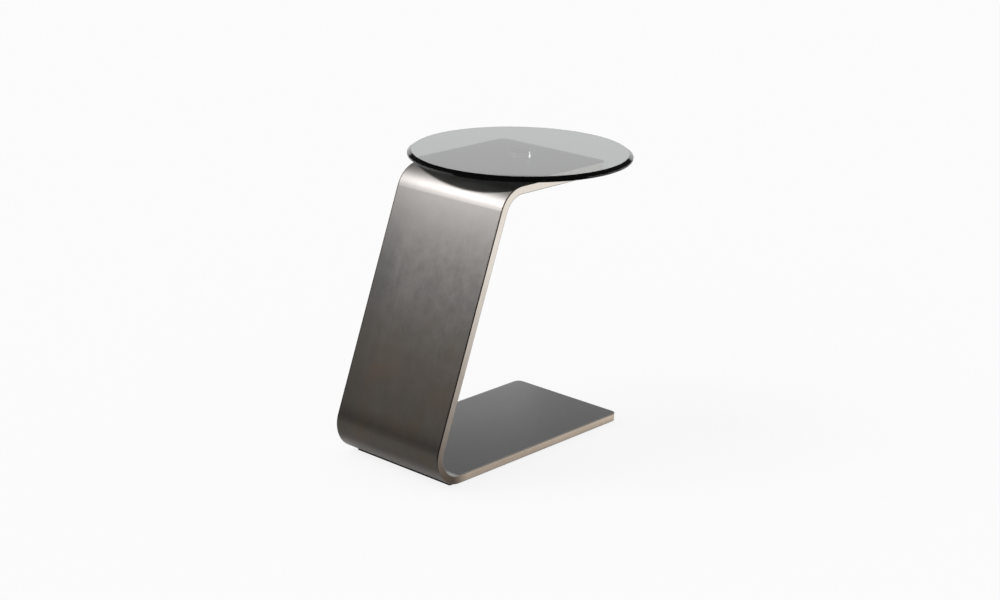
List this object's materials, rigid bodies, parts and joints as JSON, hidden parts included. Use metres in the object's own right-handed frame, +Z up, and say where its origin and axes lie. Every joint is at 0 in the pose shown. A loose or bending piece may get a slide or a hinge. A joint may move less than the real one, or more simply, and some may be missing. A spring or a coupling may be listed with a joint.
{
  "type": "side table",
  "caption": "Cantilevered side table: a round bevelled smoked-glass top on a polished hub, carried by a dark metal-faced board bent into a leaning C.",
  "frame": {"origin": "on the floor, on the mirror plane, midway between the heel of the bent board and the far rim of the glass", "axes": "+X from the leaning spine towards the open side, +Y across the board, +Z up"},
  "size_m": [0.5949, 0.45, 0.585],
  "materials": {
    "plywood": "formed beech plywood, bare inside the board",
    "outer_metal": "dark warm-grey satin metal, brushed lengthwise",
    "inner_metal": "dark neutral-grey satin metal",
    "edge_metal": "pale warm satin, ground lengthwise",
    "smoked_glass": "clear polished grey-smoked glass with a flat bevel",
    "polished_steel": "polished",
    "black_rubber": "matte black",
    "fixing_steel": "zinc-plated"
  },
  "bodies": {
    "root": {"frame_core": "plywood", "outer_skin": "outer_metal", "inner_skin": "inner_metal", "left_edge_strip": "edge_metal", "right_edge_strip": "edge_metal", "base_end_strip": "edge_metal", "shelf_end_strip": "edge_metal", "glass_top": "smoked_glass", "glass_hub": "polished_steel", "hub_pad": "black_rubber", "hub_sleeve": "fixing_steel", "hub_washer": "fixing_steel", "hub_screw": "fixing_steel", "front_foot_strip": "black_rubber", "rear_foot_strip": "black_rubber", "front_foot_screws": "fixing_steel", "rear_foot_screws": "fixing_steel"}
  },
  "joints": []
}
